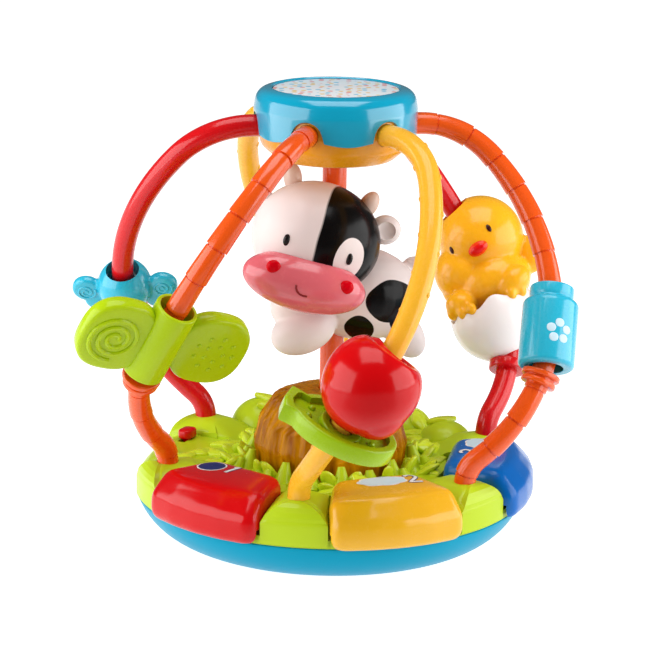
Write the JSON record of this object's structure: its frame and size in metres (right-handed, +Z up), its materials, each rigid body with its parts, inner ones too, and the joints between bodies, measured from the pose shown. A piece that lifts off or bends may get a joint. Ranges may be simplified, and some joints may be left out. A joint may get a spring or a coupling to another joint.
{
  "type": "baby activity ball",
  "caption": "Round musical activity toy: bent grip tubes rise from a key-ringed base to a cap, with sliding and turning beads and a spinning cow on the centre post.",
  "frame": {"origin": "centre of the flat underside of the base", "axes": "+Z up through the centre post, the front with the middle key faces -Y"},
  "size_m": [0.2329, 0.2298, 0.21],
  "materials": {
    "bowl_blue": "satin moulded sky blue",
    "deck_green": "satin moulded lime green",
    "hay_amber": "translucent amber",
    "tube_yellow": "gloss yellow",
    "tube_orange": "gloss orange red",
    "tube_red": "gloss red",
    "cap_blue": "gloss sky blue",
    "dish_yellow": "gloss golden yellow",
    "disc_white": "printed inlay",
    "steel": "plated screw steel",
    "cell_metal": "cell wrapper",
    "board_green": "circuit board",
    "black_plastic": "matt black",
    "lamp_white": "diffuse lamp",
    "dome_rubber": "silicone",
    "key_red": "gloss red",
    "key_yellow": "gloss yellow",
    "key_blue": "gloss blue",
    "cow_white": "gloss white with painted patches",
    "cow_pink": "gloss pink",
    "leaf_green": "gloss lime green",
    "bead_blue": "gloss sky blue",
    "apple_red": "gloss red",
    "chick_yellow": "gloss golden yellow",
    "egg_white": "gloss white"
  },
  "bodies": {
    "base": {"base_bowl": "bowl_blue", "garden_deck": "deck_green", "hay_dome": "hay_amber", "centre_post": "tube_orange", "tube_yellow_front": "tube_yellow", "tube_orange_right": "tube_orange", "tube_red_rear": "tube_red", "tube_yellow_rear": "tube_yellow", "tube_red_left": "tube_red", "tube_orange_left": "tube_orange", "cap_cover": "cap_blue", "cap_dish": "dish_yellow", "cap_disc": "disc_white", "cap_screws": "steel", "base_screws": "steel", "post_screw": "steel", "battery_door": "bowl_blue", "door_screw": "steel", "cells": "cell_metal", "cell_contacts": "steel", "circuit_board": "board_green", "speaker": "black_plastic", "lamp": "lamp_white", "key_domes": "dome_rubber", "switch_body": "black_plastic"},
    "cow": {"cow_body": "cow_white", "cow_head": "cow_white", "cow_muzzle": "cow_pink"},
    "red_key": {"key_red": "key_red"},
    "yellow_key": {"key_yellow": "key_yellow"},
    "blue_key": {"key_blue": "key_blue"},
    "switch": {"switch_knob": "key_red"},
    "bug_bead": {"bug": "bead_blue"},
    "butterfly_bead": {"butterfly": "leaf_green"},
    "apple_bead": {"apple": "apple_red"},
    "leaf_bead": {"leaf_ring": "leaf_green"},
    "roller_bead": {"roller": "bead_blue"},
    "chick_bead": {"chick": "chick_yellow", "egg": "egg_white"}
  },
  "joints": [
    {"name": "cow_spin", "type": "hinge", "parent": "base", "child": "cow", "pos_m": [0, 0, 0.12], "axis": [0, 0, 1], "continuous": true},
    {"name": "red_key_press", "type": "hinge", "parent": "base", "child": "red_key", "pos_m": [-0.03744, -0.04495, 0.0305], "axis": [0.7683, -0.6401, 0], "range_deg": [0, 4], "stiffness_Nm_per_rad": 1.2, "springref_deg": -1.72},
    {"name": "yellow_key_press", "type": "hinge", "parent": "base", "child": "yellow_key", "pos_m": [0.0202, -0.0549, 0.0305], "axis": [0.9385, 0.3454, 0], "range_deg": [0, 4], "stiffness_Nm_per_rad": 1.2, "springref_deg": -1.72},
    {"name": "blue_key_press", "type": "hinge", "parent": "base", "child": "blue_key", "pos_m": [0.05765, -0.00995, 0.0305], "axis": [0.1701, 0.9854, 0], "range_deg": [0, 4], "stiffness_Nm_per_rad": 1.2, "springref_deg": -1.72},
    {"name": "switch_slide", "type": "slide", "parent": "base", "child": "switch", "axis": [-0.4194, -0.9078, 0], "range_m": [0, 0.004]},
    {"name": "bug_slide", "type": "hinge", "parent": "base", "child": "bug_bead", "pos_m": [0.00243, 0.04462, 0.12732], "axis": [-0.2146, 0.8299, 0.515], "range_deg": [0, 36]},
    {"name": "butterfly_slide", "type": "hinge", "parent": "base", "child": "butterfly_bead", "pos_m": [-0.03743, 0.02441, 0.12732], "axis": [-0.826, 0.2291, 0.515], "range_deg": [0, 34]},
    {"name": "apple_slide", "type": "hinge", "parent": "base", "child": "apple_bead", "pos_m": [-0.03986, -0.02021, 0.12732], "axis": [-0.6114, -0.6008, 0.515], "range_deg": [0, 33]},
    {"name": "chick_slide", "type": "hinge", "parent": "base", "child": "chick_bead", "pos_m": [0.03743, -0.02441, 0.12732], "axis": [0.826, -0.2291, 0.515], "range_deg": [0, 25]},
    {"name": "leaf_spin", "type": "hinge", "parent": "base", "child": "leaf_bead", "pos_m": [0.00297, -0.09968, 0.07831], "axis": [0.5006, -0.2654, 0.824], "continuous": true},
    {"name": "roller_spin", "type": "hinge", "parent": "base", "child": "roller_bead", "pos_m": [0.09688, -0.03098, 0.10792], "axis": [0.0889, 0.5417, 0.8358], "continuous": true}
  ]
}
